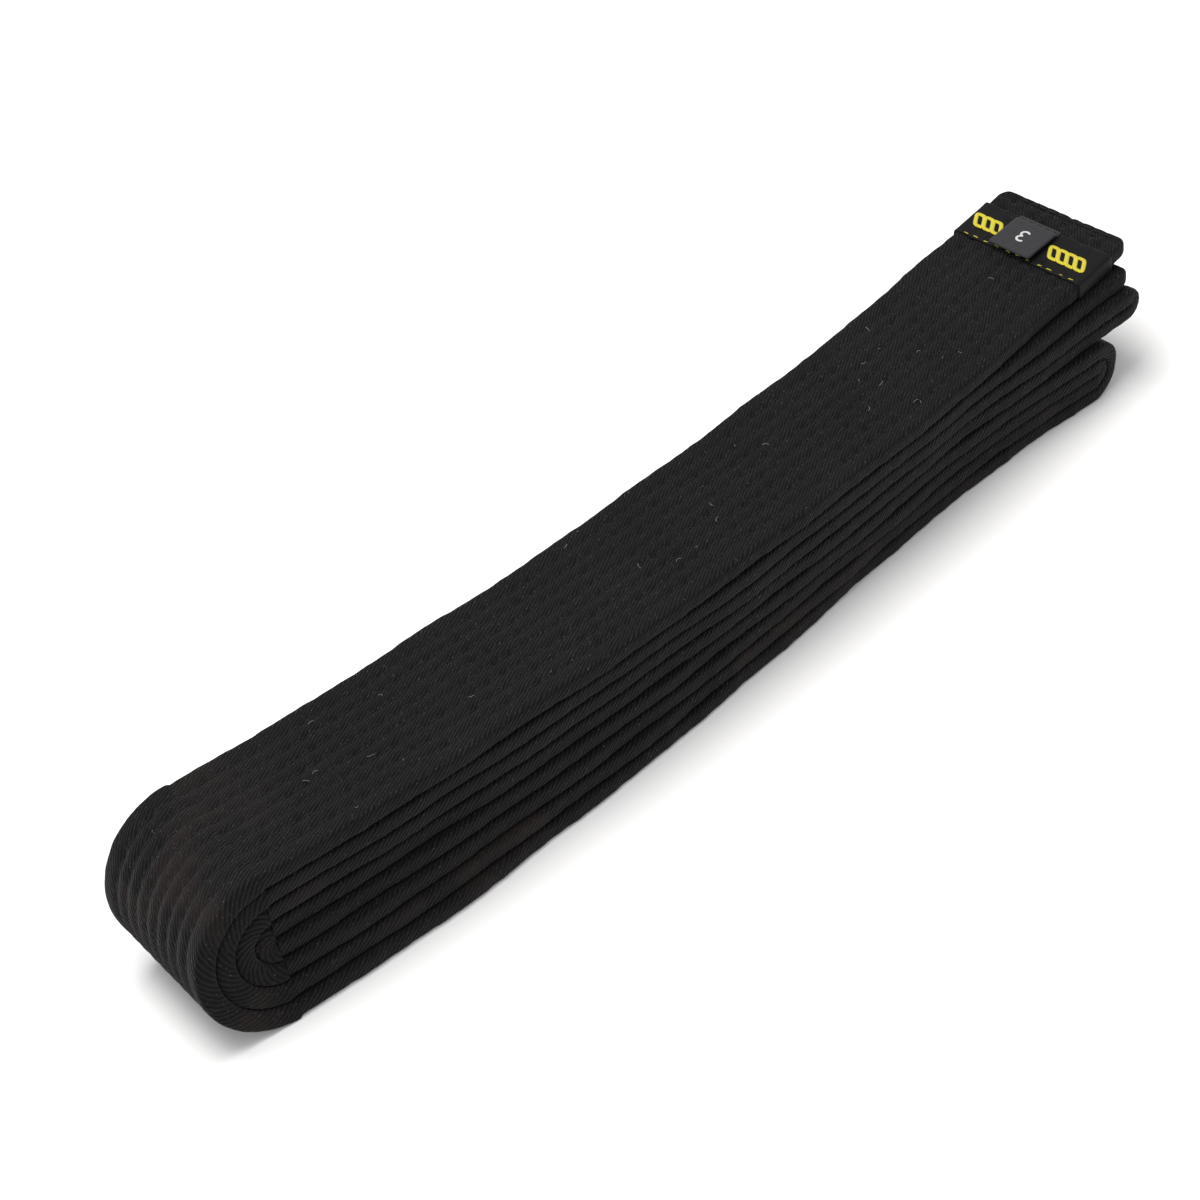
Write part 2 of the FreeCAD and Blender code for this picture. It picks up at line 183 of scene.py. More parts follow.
def fold_path(upper, lower, station, outward, stretch, u_start, turn, step):
    """Part of a half-turn fold: turn holds its first and last angle, from the top, in radians."""
    depth = thickness(station)
    top = layer_bottom(upper, station) + depth / 2.0
    bottom = layer_bottom(lower, station) + depth / 2.0
    radius, centre = (top - bottom) / 2.0, (top + bottom) / 2.0
    arc = abs(turn[1] - turn[0]) * radius * (1.0 + stretch) / 2.0
    angle = np.linspace(turn[0], turn[1], max(int(arc / step), 8) + 1)
    shift_top, shift_bottom = layer_shift(upper, station), layer_shift(lower, station)
    tilt = (shift_top - shift_bottom) / (top - bottom)
    same = np.ones(len(angle))
    rows = {
        "u": u_start + np.abs(angle - angle[0]) * radius * (1.0 + stretch) / 2.0,
        "station": station * same,
        "x": outward * stretch * radius * np.sin(angle),
        "z": centre + radius * np.cos(angle),
        "nx": outward * stretch * np.sin(angle),
        "nz": np.cos(angle),
        "shift": (shift_top + shift_bottom) / 2.0 * same,
        "tilt": tilt * same,
        "pivot": centre * same,
        "depth": depth * same,
        "nose": np.sin(angle) ** 2,
        "tip": 99.0 * same,
    }
    return {name: rows[name] for name in FIELDS}


def joined(*paths):
    """Paths end to end; a row that repeats the one before it is left out."""
    parts = [paths[0]] + [{name: path[name][1:] for name in FIELDS} for path in paths[1:]]
    return {name: np.concatenate([part[name] for part in parts]) for name in FIELDS}


def on_path(path, across, out):
    """Row-frame points of a path: across the band, and out from its middle surface."""
    def row(name):
        return path[name].reshape(path[name].shape + (1,) * (across.ndim - path[name].ndim))
    z = row("z") + row("nz") * out
    y = across + row("shift") + row("tilt") * (z - row("pivot"))
    return to_row(row("station") + 0.0 * out, row("x") + row("nx") * out, y, z)


# ---- cross-section -------------------------------------------------------------------------------
def stitch_positions():
    return np.linspace(-BELT_WIDTH / 2.0 + STITCH_MARGIN, BELT_WIDTH / 2.0 - STITCH_MARGIN, STITCH_ROWS)


def face_columns():
    """Across positions over one flat face, from -Y to +Y, closer together at the stitch rows."""
    flat = BELT_WIDTH / 2.0 - EDGE_ROUND
    rows = stitch_positions()
    marks = np.concatenate([[-flat], rows, [flat]])
    columns = []
    for left, right in zip(marks, marks[1:]):
        share = np.linspace(0.0, 1.0, PANEL_STEPS + 1)[:-1]
        columns.append(left + (right - left) * (share - 0.09 * np.sin(2.0 * math.pi * share)))
    return np.concatenate(columns + [[flat]])


def ring():
    """One cross-section: across, out (in half depths), which face, and the weave's coordinates."""
    face = face_columns()
    flat = BELT_WIDTH / 2.0 - EDGE_ROUND
    bend = np.linspace(0.0, math.pi, EDGE_STEPS + 2)[1:-1]
    side = EDGE_ROUND * np.abs(np.sin(bend)) ** EDGE_SQUARENESS
    lift = np.sign(np.cos(bend)) * np.abs(np.cos(bend)) ** EDGE_SQUARENESS
    across = np.concatenate([face[::-1], -flat - side, face, flat + side])
    out = np.concatenate([np.ones(len(face)), lift, -np.ones(len(face)), -lift])
    plain, side_on = np.ones(len(face)), np.zeros(len(bend))
    which = np.concatenate([plain, side_on, -plain, side_on])
    shift = -np.argmin(np.abs(face)) - 1
    across, out, which = (np.roll(part, shift) for part in (across, out, which))
    out = np.clip(out, -1.0, 1.0)
    half = (BAND_NEAR + BAND_FAR) / 4.0
    across_next, out_next = np.roll(across, -1), np.roll(out, -1)
    step = np.hypot(across_next - across, (out_next - out) * half)
    on_edge = np.abs(across + across_next) / 2.0 > flat
    v = np.concatenate([[0.0], np.cumsum(step)])
    wales = np.concatenate([[0.0], np.cumsum(step * np.where(on_edge, TWILL_ON_EDGE, TWILL_ACROSS))])
    return {"across": across, "out": out, "which": which, "v": v, "wales": wales}


RING = ring()


def relief(u, across, which, nose, tip, row_offset):
    """How far the quilted surface sinks below the plain one, for points on the two flat faces."""
    sunk = np.zeros(np.broadcast(u, across).shape)
    tension = np.random.default_rng(900).uniform(0.25, 1.45, (STITCH_ROWS, TENSION_CYCLE))
    for index, row in enumerate(stitch_positions()):
        away = across - row
        near = np.exp(-(away / (VALLEY_WIDTH * (1.0 + 0.5 * nose))) ** 2)
        wide = np.exp(-(away / (2.0 * VALLEY_WIDTH)) ** 2)
        along = (u - DIMPLE_SKEW * away) / STITCH_PITCH + row_offset[index]
        hole = (0.5 + 0.5 * np.cos(2.0 * math.pi * along)) ** 2
        hole = hole * tension[index, np.floor(along + 0.5).astype(int) % TENSION_CYCLE]
        hole = hole * (1.0 - 0.85 * nose)
        sunk = sunk + VALLEY_DEPTH * near * (0.55 + 0.45 * hole + 1.3 * nose) + DIMPLE_DEPTH * wide * hole
    for inset in HEM_ROWS:
        sunk = sunk + VALLEY_DEPTH * np.exp(-((tip - inset) / 0.5) ** 2)
    return sunk * np.abs(which)


def row_offsets(seed):
    return np.random.default_rng(100 + seed).uniform(0.0, 1.0, STITCH_ROWS)


def tip_shape(path):
    """Half width and thickness factor of each row, so that free ends are closed and rounded."""
    tip = path["tip"]
    corner = np.clip(TIP_CORNER - tip, 0.0, TIP_CORNER)
    narrow = TIP_CORNER - np.sqrt(np.maximum(TIP_CORNER ** 2 - corner ** 2, 0.0))
    close = np.clip(TIP_ROUND - tip, 0.0, TIP_ROUND) / TIP_ROUND
    hem = 1.0 - 0.16 * smoothstep((5.5 - tip) / 3.0)
    return narrow, hem * np.sqrt(np.maximum(1.0 - close ** 2, 0.0009))


def band_surface(path, seed):
    """Points of every row and column of the band's cover."""
    narrow, full = tip_shape(path)
    across, out, which = RING["across"][None, :], RING["out"][None, :], RING["which"][None, :]
    u, depth = path["u"][:, None], path["depth"][:, None]
    scale = (BELT_WIDTH / 2.0 - narrow[:, None]) / (BELT_WIDTH / 2.0)
    sunk = relief(u, across, which, path["nose"][:, None] * (out > 0.0), path["tip"][:, None],
                  row_offsets(seed))
    bulge = waves(u, seed + 20, (23.0, 11.0, 6.3), 0.16) + waves(u + 9.0 * out, seed + 40, (4.85, 3.1), 0.05)
    sides = np.sign(across) * (1.0 - np.abs(which)) * bulge
    height = out * (depth / 2.0 + PANEL_CROWN) - np.sign(out) * sunk
    points = on_path(path, across * scale + sides * full[:, None], height * full[:, None])
    points[..., 2] = np.maximum(points[..., 2], 0.0)     # pressed flat where it lies on the table
    return points


# ---- meshes -------------------------------------------------------------------------------------
def grid_faces(rows, columns, close_rows=False, close_columns=True):
    """Quads of a grid of points, and the grid cell that each belongs to."""
    row_count, column_count = rows - (not close_rows), columns - (not close_columns)
    i, j = np.meshgrid(np.arange(row_count), np.arange(column_count), indexing="ij")
    i, j = i.ravel(), j.ravel()
    i_next, j_next = (i + 1) % rows, (j + 1) % columns
    quads = np.stack([i * columns + j, i_next * columns + j,
                      i_next * columns + j_next, i * columns + j_next], axis=1)
    return quads, i, j


def mesh_object(name, points, faces, material, weave=None, smooth=True):
    """An object from points in millimetres; weave holds a vector for each face corner."""
    mesh = bpy.data.meshes.new(name)
    mesh.from_pydata((np.asarray(points).reshape(-1, 3) * MM).tolist(), [], [list(f) for f in faces])
    mesh.validate()
    if weave is not None:
        attribute = mesh.attributes.new("weave", "FLOAT_VECTOR", "CORNER")
        attribute.data.foreach_set("vector", np.asarray(weave, np.float32).ravel())
    if smooth:
        mesh.shade_smooth()
    mesh.materials.append(material)
    made = bpy.data.objects.new(name, mesh)
    bpy.context.scene.collection.objects.link(made)
    return made


def band_mesh(name, path, seed, material, cap_end=False):
    """The cover of one stretch of the strip, with the weave's coordinates on its corners."""
    points = band_surface(path, seed)
    rows, columns = points.shape[:2]
    quads, i, j = grid_faces(rows, columns)
    u, v, wales = path["u"], RING["v"], RING["wales"]
    corner_rows, corner_columns = [i, i + 1, i + 1, i], [j, j, j + 1, j + 1]
    weave = np.stack([np.stack([u[r], v[c], TWILL_ALONG * u[r] + wales[c]], axis=1)
                      for r, c in zip(corner_rows, corner_columns)], axis=1)
    faces = quads.tolist()
    weave = weave.reshape(-1, 3)
    if cap_end:
        last = (rows - 1) * columns
        faces.append([last + c for c in range(columns)])
        cap = np.stack([np.full(columns, u[-1]), RING["v"][:-1],
                        TWILL_ALONG * u[-1] + RING["wales"][:-1]], axis=1)
        weave = np.concatenate([weave, cap])
    return mesh_object(name, points, faces, material, weave)


def thread_mesh(name, path, seed, material):
    """Every stitch of one stretch, on both faces, as a short arched length of thread."""
    turns, spine = 6, np.array([-1.0, -0.72, -0.3, 0.3, 0.72, 1.0])
    arch = np.array([-0.34, -0.06, 0.1, 0.1, -0.06, -0.34])
    girth = np.array([0.5, 0.9, 1.0, 1.0, 0.9, 0.5])
    around = np.linspace(0.0, 2.0 * math.pi, turns, endpoint=False)
    offsets = row_offsets(seed)
    order = np.argsort(path["u"])
    low, high = path["u"].min(), path["u"].max()
    centres, sides, rows = [], [], []
    for index in range(STITCH_ROWS):
        first = math.ceil((low + STITCH_LENGTH / 2.0) / STITCH_PITCH + offsets[index] - 0.5)
        spots = (np.arange(first, first + 200) + 0.5 - offsets[index]) * STITCH_PITCH
        spots = spots[(spots > low + STITCH_LENGTH / 2.0) & (spots < high - STITCH_LENGTH / 2.0)]
        for side in (1.0, -1.0):
            centres.append(spots)
            sides.append(np.full(len(spots), side))
            rows.append(np.full(len(spots), index))
    centre, side, index = np.concatenate(centres), np.concatenate(sides), np.concatenate(rows)
    rng = np.random.default_rng(500 + seed)
    skew = rng.uniform(-0.12, 0.12, len(centre))[:, None]
    u = centre[:, None] + spine * STITCH_LENGTH / 2.0
    local = {f: np.interp(u, path["u"][order], path[f][order]) for f in FIELDS}
    keep = local["tip"].min(axis=1) > 5.5
    u, centre, side, index, skew = u[keep], centre[keep], side[keep], index[keep], skew[keep]
    local = {f: local[f][keep] for f in FIELDS}
    row = stitch_positions()[index.astype(int)][:, None] + skew * spine
    nose = local["nose"] * (side[:, None] > 0.0)
    groove = VALLEY_DEPTH * (0.62 + 1.3 * nose) + DIMPLE_DEPTH * 0.12
    middle = side[:, None] * (local["depth"] / 2.0 + PANEL_CROWN - groove + arch)
    across = row[:, :, None] + np.cos(around) * THREAD_HALF_WIDTH * girth[None, :, None]
    out = middle[:, :, None] + np.sin(around) * THREAD_HALF_HEIGHT * girth[None, :, None]
    points = on_path(local, across, out)
    points[..., 2] += np.maximum(-points[..., 2].min(axis=(1, 2)), 0.0)[:, None, None]
    count, length = points.shape[0], len(spine)
    quads, i, j = grid_faces(length, turns)
    caps = [list(range(turns - 1, -1, -1)), [(length - 1) * turns + t for t in range(turns)]]
    flat = points.reshape(-1, 3)
    faces = (quads[None] + (np.arange(count) * length * turns)[:, None, None]).reshape(-1, 4).tolist()
    for stitch in range(count):
        faces += [[stitch * length * turns + v for v in cap] for cap in caps]
    corner_u = np.stack([i, i + 1, i + 1, i], axis=1) / (length - 1.0) * STITCH_LENGTH
    corner_v = np.stack([j, j, j + 1, j + 1], axis=1) / turns
    one = np.stack([corner_u, corner_v, corner_u], axis=2).reshape(-1, 3)
    weave = np.concatenate([np.tile(one, (count, 1)), np.zeros((2 * turns * count, 3))])
    return mesh_object(name, flat, faces, material, weave)


# ---- materials ----------------------------------------------------------------------------------
class Shader:
    """Small helper to wire a node material."""

    def __init__(self, name, roughness, **sockets):
        self.material = bpy.data.materials.new(name)
        self.material.use_nodes = True
        self.tree = self.material.node_tree
        self.bsdf = self.tree.nodes["Principled BSDF"]
        self.bsdf.inputs["Roughness"].default_value = roughness
        for socket, value in sockets.items():
            self.bsdf.inputs[socket.replace("_", " ")].default_value = value

    def put(self, socket, value):
        if isinstance(value, bpy.types.NodeSocket):
            self.tree.links.new(value, socket)
        else:
            socket.default_value = value

    def node(self, kind, inputs, output=0, **settings):
        made = self.tree.nodes.new(kind)
        for key, value in settings.items():
            setattr(made, key, value)
        for key, value in inputs.items():
            self.put(made.inputs[key], value)
        return made.outputs[output]

    def math(self, operation, a, b=0.0, c=0.0):
        return self.node("ShaderNodeMath", {0: a, 1: b, 2: c}, operation=operation)

    def clamped(self, operation, a, b=0.0):
        return self.node("ShaderNodeMath", {0: a, 1: b}, operation=operation, use_clamp=True)

    def weave(self):
        """The weave attribute: the vector, then u, v and wale phase on their own."""
        vector = self.node("ShaderNodeAttribute", {}, output="Vector", attribute_name="weave")
        parts = self.tree.nodes.new("ShaderNodeSeparateXYZ")
        self.put(parts.inputs[0], vector)
        return vector, parts.outputs[0], parts.outputs[1], parts.outputs[2]

    def place(self):
        return self.node("ShaderNodeTexCoord", {}, output="Object")

    def noise(self, vector, scale, detail=2.0, roughness=0.5):
        return self.node("ShaderNodeTexNoise", {"Vector": vector, "Scale": scale, "Detail": detail,
                                                "Roughness": roughness}, output="Fac")

    def combine(self, x, y, z):
        return self.node("ShaderNodeCombineXYZ", {0: x, 1: y, 2: z})

    def wave(self, cycles):
        """0 to 1 sine of a phase in cycles."""
        turned = self.math("MULTIPLY", cycles, 2.0 * math.pi)
        return self.math("MULTIPLY_ADD", self.math("SINE", turned), 0.5, 0.5)

    def mix(self, factor, a, b):
        made = self.tree.nodes.new("ShaderNodeMix")
        made.data_type = "RGBA"
        for socket, value in ((made.inputs[0], factor), (made.inputs[6], a), (made.inputs[7], b)):
            self.put(socket, value)
        return made.outputs[2]

    def ramp(self, value, low, high):
        """value stretched so that low becomes 0 and high becomes 1."""
        return self.node("ShaderNodeMapRange", {0: value, 1: low, 2: high}, clamp=True)

    def bump(self, height, strength, distance, under=None):
        inputs = {"Height": height, "Strength": strength, "Distance": distance}
        if under is not None:
            inputs["Normal"] = under
        return self.node("ShaderNodeBump", inputs)

    def finish(self, colour, normal=None, roughness=None):
        self.put(self.bsdf.inputs["Base Color"], colour)
        if normal is not None:
            self.put(self.bsdf.inputs["Normal"], normal)
        if roughness is not None:
            self.put(self.bsdf.inputs["Roughness"], roughness)
        return self.material


def grey(value, warm=0.0):
    return (value * (1.0 + warm), value, value * (1.0 - 0.4 * warm), 1.0)


def cotton_cover():
    """Black cotton twill: slanting wales of short floats, fuzz, lint and faded, dusty ridges."""
    s = Shader("black_cotton_twill", 0.86, Specular_IOR_Level=0.12, Sheen_Weight=0.07,
               Sheen_Roughness=0.42, Sheen_Tint=(0.86, 0.85, 0.9, 1.0))
    vector, u, v, wales = s.weave()
    drift = s.noise(vector, 0.11, 3.0)
    jitter = s.noise(vector, 0.9, 2.0)
    phase = s.math("ADD", wales, s.math("MULTIPLY_ADD", drift, 1.6, s.math("MULTIPLY", jitter, 0.35)))
    wale = s.wave(phase)
    along = s.math("SUBTRACT", s.math("MULTIPLY", u, 0.886), s.math("MULTIPLY", v, 0.463))
    floats = s.wave(s.math("ADD", s.math("MULTIPLY", along, 0.72), s.math("MULTIPLY", phase, 0.38)))
    yarn = s.noise(s.combine(s.math("MULTIPLY", along, 0.55), s.math("MULTIPLY", phase, 1.9), 0.0), 1.0, 2.0)
    fuzz = s.noise(vector, 6.5, 3.0, 0.7)
    crest = s.math("MULTIPLY", s.math("POWER", wale, 1.3), s.math("MULTIPLY_ADD", floats, 0.2, 0.8))
    cloud = s.ramp(s.noise(s.place(), 38.0, 4.0, 0.6), 0.36, 0.68)
    near = s.ramp(u, 34.0, -12.0)
    warm = s.math("MULTIPLY", near, s.ramp(s.noise(s.place(), 55.0, 2.0), 0.5, 0.66))
    bright = s.clamped("MULTIPLY", s.math("MULTIPLY_ADD", crest, 0.85, 0.15),
                       s.math("MULTIPLY_ADD", yarn, 1.3, 0.35))
    bright = s.clamped("MULTIPLY", bright, s.math("MULTIPLY_ADD", cloud, 0.35, 0.8))
    colour = s.mix(bright, grey(0.0006), (0.0125, 0.0117, 0.0128, 1.0))
    colour = s.mix(s.math("MULTIPLY", warm, 0.5), colour, (0.0205, 0.0145, 0.0118, 1.0))
    lint = s.math("MULTIPLY", s.ramp(s.noise(vector, 1.35, 1.0), 0.735, 0.79),
                  s.ramp(s.noise(vector, 5.0, 1.0), 0.5, 0.6))
    dust = s.ramp(s.noise(s.combine(s.math("MULTIPLY", along, 0.5), s.math("MULTIPLY", phase, 1.3), 3.0),
                          2.4, 1.0), 0.69, 0.76)
    pale = s.clamped("ADD", s.math("MULTIPLY", lint, 0.55), s.math("MULTIPLY", dust, 0.2))
    colour = s.mix(pale, colour, grey(0.24))
    height = s.math("ADD", crest, s.math("MULTIPLY", fuzz, 0.3))
    normal = s.bump(height, 0.75, 0.00022, s.bump(cloud, 0.2, 0.0004))
    return s.finish(colour, normal, s.math("MULTIPLY_ADD", fuzz, 0.16, 0.78))


def thread_material(name, dark, light, roughness):
    """Twisted sewing thread: plies that wind round it."""
    s = Shader(name, roughness, Specular_IOR_Level=0.12, Sheen_Weight=0.06, Sheen_Roughness=0.4)
    _, u, v, _ = s.weave()
    ply = s.wave(s.math("ADD", s.math("MULTIPLY", u, 2.3), s.math("MULTIPLY", v, 2.0)))
    tone = s.clamped("MULTIPLY", ply, s.math("MULTIPLY_ADD", s.noise(s.place(), 900.0, 2.0), 0.9, 0.55))
    return s.finish(s.mix(tone, dark, light), s.bump(ply, 0.6, 0.00008))


def label_weave():
    """Satin-woven black label: fine crosswise ribs, with a slight gloss."""
    s = Shader("label_satin", 0.65, Specular_IOR_Level=0.12, Sheen_Weight=0.04, Sheen_Roughness=0.35)
    vector, u, v, _ = s.weave()
    rib = s.wave(s.math("MULTIPLY", u, 2.6))
    warp = s.wave(s.math("ADD", s.math("MULTIPLY", v, 3.1), s.math("MULTIPLY", u, 1.3)))
    weft = s.math("MULTIPLY_ADD", warp, 0.4, s.math("MULTIPLY", rib, 0.6))
    tone = s.clamped("MULTIPLY", weft, s.math("MULTIPLY_ADD", s.noise(vector, 0.7, 3.0), 0.9, 0.5))
    colour = s.mix(tone, grey(0.001), (0.0065, 0.0065, 0.007, 1.0))
    lint = s.ramp(s.noise(vector, 1.6, 1.0), 0.74, 0.8)
    colour = s.mix(s.math("MULTIPLY", lint, 0.4), colour, grey(0.2))
    return s.finish(colour, s.bump(weft, 0.5, 0.00012), s.math("MULTIPLY_ADD", tone, -0.15, 0.62))


def yellow_yarn():
    """Yellow embroidery: ribs of yarn laid side by side across each line."""
    s = Shader("yellow_yarn", 0.55, Specular_IOR_Level=0.4, Sheen_Weight=0.3, Sheen_Roughness=0.3)
    vector, u, v, _ = s.weave()
    rib = s.wave(s.math("ADD", s.math("MULTIPLY", u, 2.9), s.math("MULTIPLY", v, 0.8)))
    tone = s.clamped("MULTIPLY", s.math("MULTIPLY_ADD", rib, 0.7, 0.35),
                     s.math("MULTIPLY_ADD", s.noise(vector, 1.9, 3.0), 0.8, 0.65))
    colour = s.mix(tone, (0.2, 0.17, 0.006, 1.0), (0.72, 0.62, 0.018, 1.0))
    return s.finish(colour, s.bump(rib, 0.7, 0.00012))


def tag_tape():
    """Dark grey woven tape with a plain weave."""
    s = Shader("grey_tape", 0.8, Specular_IOR_Level=0.12, Sheen_Weight=0.08, Sheen_Roughness=0.4)
    vector, u, v, _ = s.weave()
    warp, weft = s.wave(s.math("MULTIPLY", u, 2.9)), s.wave(s.math("MULTIPLY", v, 2.9))
    grain = s.math("ADD", s.math("MULTIPLY", warp, weft),
                   s.math("MULTIPLY", s.math("SUBTRACT", 1.0, warp), s.math("SUBTRACT", 1.0, weft)))
    tone = s.clamped("MULTIPLY", s.math("MULTIPLY_ADD", grain, 0.5, 0.5),
                     s.math("MULTIPLY_ADD", s.noise(vector, 0.8, 3.0), 0.7, 0.65))
    colour = s.mix(tone, grey(0.01), (0.042, 0.042, 0.047, 1.0))
    return s.finish(colour, s.bump(grain, 0.45, 0.0001))


def pale_yarn(name, dark, light):
    """Fine pale yarn, as in the numeral and stray fibres."""
    s = Shader(name, 0.65, Specular_IOR_Level=0.3, Sheen_Weight=0.3)
    vector, u, v, _ = s.weave()
    rib = s.wave(s.math("ADD", s.math("MULTIPLY", u, 3.0), s.math("MULTIPLY", v, 1.0)))
    tone = s.clamped("MULTIPLY", rib, s.math("MULTIPLY_ADD", s.noise(vector, 2.0, 2.0), 0.8, 0.6))
    return s.finish(s.mix(tone, dark, light), s.bump(rib, 0.5, 0.00008))


COVER = cotton_cover()
THREAD = thread_material("black_thread", grey(0.002), (0.02, 0.019, 0.0205, 1.0), 0.7)
LABEL = label_weave()
YELLOW = yellow_yarn()
TAPE = tag_tape()
TAG_THREAD = thread_material("tag_thread", grey(0.01), grey(0.06), 0.5)
NUMERAL = pale_yarn("numeral_yarn", grey(0.3), grey(0.78))
LINT = pale_yarn("lint_fibre", grey(0.12), grey(0.34))


# ---- the band's pieces ----------------------------------------------------------------------------
FINE, COARSE = 0.9, 1.25
THIRD = math.pi / 3.0


def near_turn(index, first, last, u_start, step=COARSE):
    upper, lower = NEAR_FOLDS[index]
    return fold_path(upper, lower, 0.0, -1.0, NOSE_STRETCH, u_start, (first, last), step)


def far_turn(index, u_start, first=0.0, last=math.pi):
    upper, lower = FAR_FOLDS[index]
    return fold_path(upper, lower, REACH[upper], 1.0, 1.0, u_start, (first, last), COARSE)


def bending(piece):
    """Bake a piece's placement into its mesh; it rides on no body."""
    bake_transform(piece)


def dress(name, path, seed, replaced, hold, cap_end=False):
    """Cover and stitching of one stretch, each handed to hold, which rides it on a body or bakes it in
    place.
    """
    cover = band_mesh(f"{name}_cover", path, seed, COVER, cap_end)
    threads = thread_mesh(f"{name}_stitching", path, seed, THREAD)
    for piece in (cover, threads):
        hold(piece)
    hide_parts(*[node for node in replaced if not node.startswith("stitching")])
    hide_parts(*[node for node in replaced if node.startswith("stitching")])


def nodes_of(*names):
    return [f"{part}_{name}" for name in names for part in ("cover", "core", "stitching")]


def build_top_leaf():
    """Layer 1, whose near end runs on round the first third of the outer fold."""
    turn = near_turn(1, THIRD, 0.0, 0.0, FINE)
    turn["u"] = turn["u"] - turn["u"][-1]
    run = run_path(1, 0.0, REACH[1], 0.0, True, FINE, tip=True)
    path = joined(turn, run)
    dress("top_leaf", path, 1, nodes_of("layer_1") + ["end_closure_1"],
          lambda piece: bending(piece), cap_end=True)
    return -turn["u"][0]


def build_outer_nose(third_length):
    """The middle third of the outer fold."""
    path = near_turn(1, 2.0 * THIRD, THIRD, 0.0, FINE)
    path["u"] = path["u"] - path["u"][-1] - third_length
    dress("outer_nose", path, 1, nodes_of("near_fold_1"),
          lambda piece: bending(piece))
    return -path["u"][0]


def build_bottom_leaf(two_thirds):
    """Layer 8, with the last third of the outer fold."""
    turn = near_turn(1, math.pi, 2.0 * THIRD, 0.0, FINE)
    turn["u"] = turn["u"] - turn["u"][-1] - two_thirds
    run = run_path(8, REACH[8], 0.0, turn["u"][0] - REACH[8], False, FINE)
    path = joined(run, turn)
    dress("bottom_leaf", path, 1, nodes_of("layer_8"),
          lambda piece: bending(piece))


def build_second_leaf():
    """Layer 2 with the upper half of the second fold, and layer 7 with its lower half."""
    turn = near_turn(2, math.pi / 2.0, 0.0, 0.0)
    turn["u"] = turn["u"] - turn["u"][-1]
    run = run_path(2, 0.0, REACH[2], 0.0, True, COARSE, tip=True)
    upper = joined(turn, run)
    dress("second_leaf", upper, 2, nodes_of("layer_2") + ["end_closure_2"],
          lambda piece: bending(piece),
          cap_end=True)
    lower_turn = near_turn(2, math.pi, math.pi / 2.0, 0.0)
    lower_turn["u"] = lower_turn["u"] - lower_turn["u"][-1] + turn["u"][0]
    back = run_path(7, REACH[7], 0.0, lower_turn["u"][0] - REACH[7], False, COARSE)
    lower = joined(back, lower_turn)
    dress("seventh_leaf", lower, 2, nodes_of("layer_7", "near_fold_2"),
          lambda piece: bending(piece))


def build_inner_folds():
    """The two small folds inside the nose, each baked in place."""
    for index, half_zone in ((3, 5.4), (4, 4.9)):
        path = near_turn(index, 0.0, math.pi, 0.0)
        dress(f"inner_fold_{index}", path, 2 + index, nodes_of(f"near_fold_{index}"),
              lambda piece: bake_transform(piece))


def build_fixed_leaves():
    """Layers and far folds that never bend: each stretch rides on one body."""
    def hold(body):
        return lambda piece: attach(piece, body)

    def stretch(name, upper, lower, fold, seed, body, with_upper, with_lower):
        turn = far_turn(fold, REACH[upper])
        parts = []
        if with_upper:
            parts.append(run_path(upper, 0.0, REACH[upper], 0.0, True, COARSE))
        parts.append(turn)
        if with_lower:
            parts.append(run_path(lower, REACH[lower], 0.0, turn["u"][-1], False, COARSE))
        layers = [f"layer_{layer}" for layer, used in ((upper, with_upper), (lower, with_lower)) if used]
        dress(name, joined(*parts), seed, nodes_of(*layers, f"far_fold_{fold}"), hold(body))

    stretch("middle_leaves", 3, 4, 1, 7, "middle_fold", True, True)
    stretch("fifth_leaf", 5, 8, 2, 8, "lower_stack", True, False)
    stretch("sixth_leaf", 6, 7, 3, 9, "lower_stack", True, False)


# ---- hems, label and tag -----------------------------------------------------------------------
def layer_top(layer, station):
    return layer_bottom(layer, station) + thickness(station)


def tube(points, across_width, height, closed=False, turns=8):
    """A flattened strand along points (millimetres), lying on a surface that faces up."""
    points = np.asarray(points, float)
    ahead = np.roll(points, -1, axis=0) - np.roll(points, 1, axis=0)
    if not closed:
        ahead[0], ahead[-1] = points[1] - points[0], points[-1] - points[-2]
    ahead /= np.linalg.norm(ahead, axis=1)[:, None]
    side = np.cross(ahead, [0.0, 0.0, 1.0])
    side /= np.maximum(np.linalg.norm(side, axis=1), 1e-6)[:, None]
    up = np.cross(side, ahead)
    around = np.linspace(0.0, 2.0 * math.pi, turns, endpoint=False)
    girth = np.ones(len(points))
    if not closed:
        girth[0] = girth[-1] = 0.35
    rim = (side[:, None] * (np.cos(around)[None, :, None] * across_width / 2.0)
           + up[:, None] * (np.sin(around)[None, :, None] * height / 2.0)) * girth[:, None, None]
    grid = points[:, None] + rim
    quads, i, j = grid_faces(len(points), turns, close_rows=closed)
    travel = np.concatenate([[0.0], np.cumsum(np.linalg.norm(np.diff(points, axis=0), axis=1))])
    travel = np.append(travel, travel[-1] + np.linalg.norm(points[0] - points[-1]))
    faces = quads[:, ::-1].tolist()
    corner_i, corner_j = (np.stack([i, i + 1, i + 1, i], axis=1)[:, ::-1],
                          np.stack([j, j, j + 1, j + 1], axis=1)[:, ::-1])
    u = travel[corner_i]
    weave = np.stack([u, corner_j / turns * across_width, u], axis=2).reshape(-1, 3)
    if not closed:
        last = (len(points) - 1) * turns
        faces += [list(range(turns)), [last + t for t in range(turns - 1, -1, -1)]]
        weave = np.concatenate([weave, np.zeros((2 * turns, 3))])
    return grid.reshape(-1, 3), faces, weave


def strands(name, lines, across_width, height, material, closed=False):
    """Several strands in one mesh."""
    points, faces, weave, base = [], [], [], 0
    for line in lines:
        p, f, w = tube(line, across_width, height, closed)
        points.append(p)
        faces += [[v + base for v in face] for face in f]
        weave.append(w)
        base += len(p)
    return mesh_object(name, np.concatenate(points), faces, material, np.concatenate(weave))


